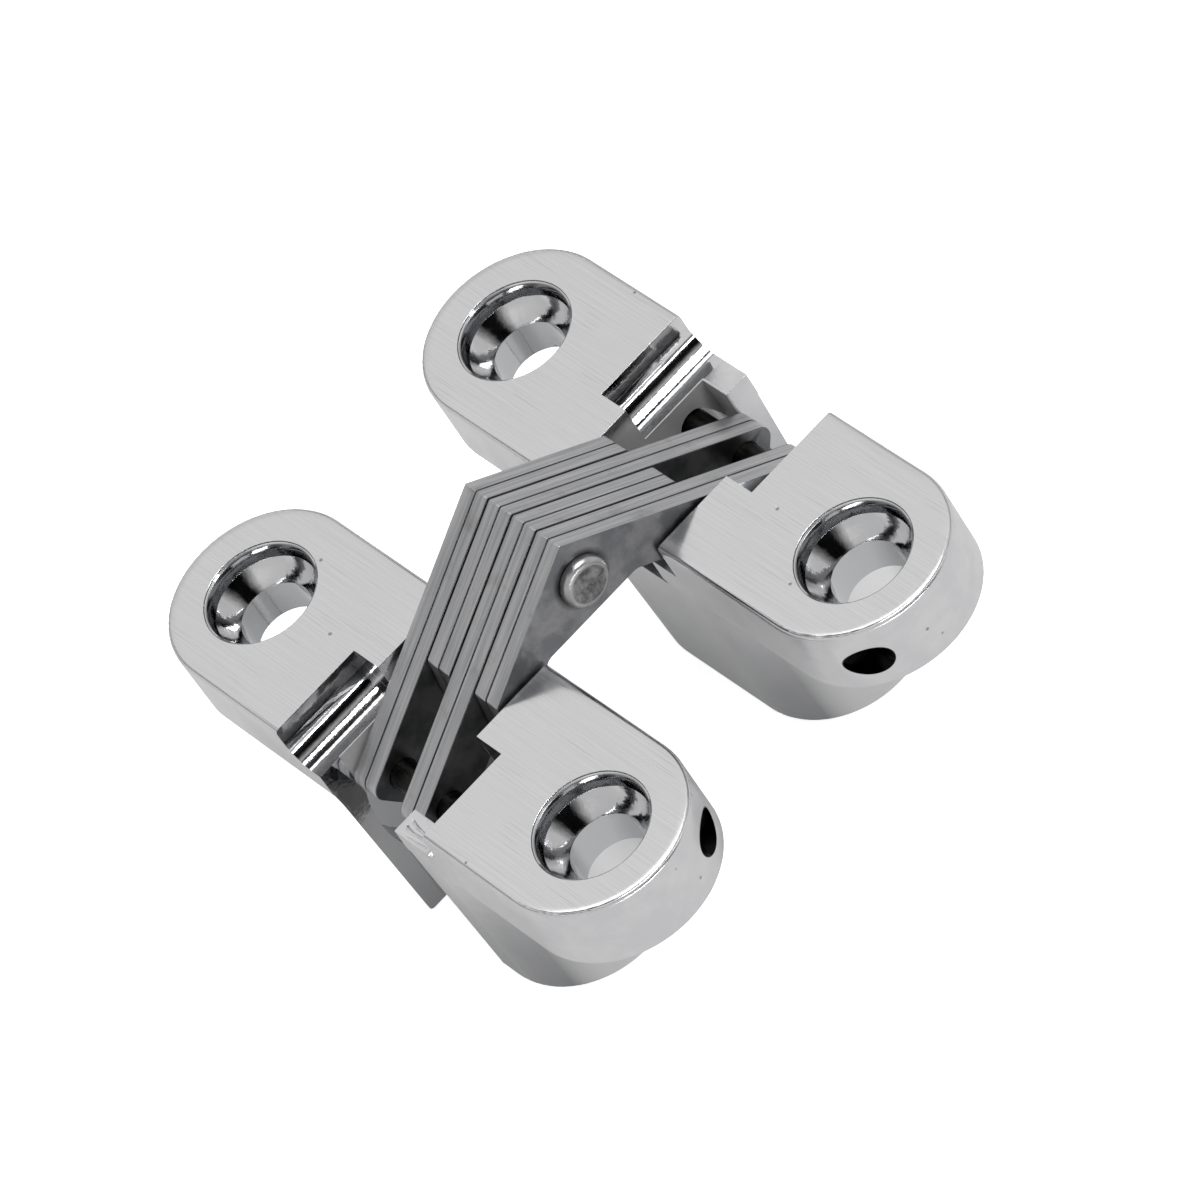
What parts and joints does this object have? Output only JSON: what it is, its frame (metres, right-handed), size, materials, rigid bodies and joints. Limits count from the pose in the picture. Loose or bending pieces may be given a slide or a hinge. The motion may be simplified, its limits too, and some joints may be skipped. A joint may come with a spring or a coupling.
{
  "type": "concealed door hinge",
  "caption": "Concealed door hinge: two plated cast bodies joined by crossing steel links that fold away into pockets as the door shuts.",
  "frame": {"origin": "centre of body A's face, midway between its two screw holes", "axes": "+X along the body, +Y towards body B, +Z out of the face"},
  "size_m": [0.045, 0.0356, 0.0243],
  "materials": {
    "plated_casting": "bright nickel plate over a zinc casting, brushed on the faces",
    "link_steel": "stamped steel, satin, brushed edges",
    "pin_steel": "drawn steel, bright"
  },
  "bodies": {
    "leaf_a": {"body_a": "plated_casting", "pivot_pin_a": "pin_steel"},
    "links_deep_in_b": {"link_plate_3": "link_steel", "link_plate_4": "link_steel", "link_plate_7": "link_steel", "link_plate_8": "link_steel", "slide_pin_b": "pin_steel"},
    "links_deep_in_a": {"link_plate_1": "link_steel", "link_plate_2": "link_steel", "link_plate_5": "link_steel", "link_plate_6": "link_steel", "centre_rivet": "pin_steel", "slide_pin_a": "pin_steel"},
    "leaf_b": {"body_b": "plated_casting", "pivot_pin_b": "pin_steel"}
  },
  "joints": [
    {"name": "fold", "type": "hinge", "parent": "leaf_a", "child": "links_deep_in_b", "pos_m": [0, 0.00425, -0.00275], "axis": [1, 0, 0], "range_deg": [0, 114.84]},
    {"name": "cross", "type": "hinge", "parent": "links_deep_in_b", "child": "links_deep_in_a", "pos_m": [0, 0.0113, 0.0026], "axis": [1, 0, 0], "range_deg": [-49.69, 0]},
    {"name": "leaf_b_pivot", "type": "hinge", "parent": "links_deep_in_a", "child": "leaf_b", "pos_m": [0, 0.01835, -0.00275], "axis": [1, 0, 0], "range_deg": [0, 114.85]}
  ],
  "couplings": [
    {"joint": "cross", "follows": "fold", "ratio": -0.43263},
    {"joint": "leaf_b_pivot", "follows": "fold", "ratio": 1}
  ]
}
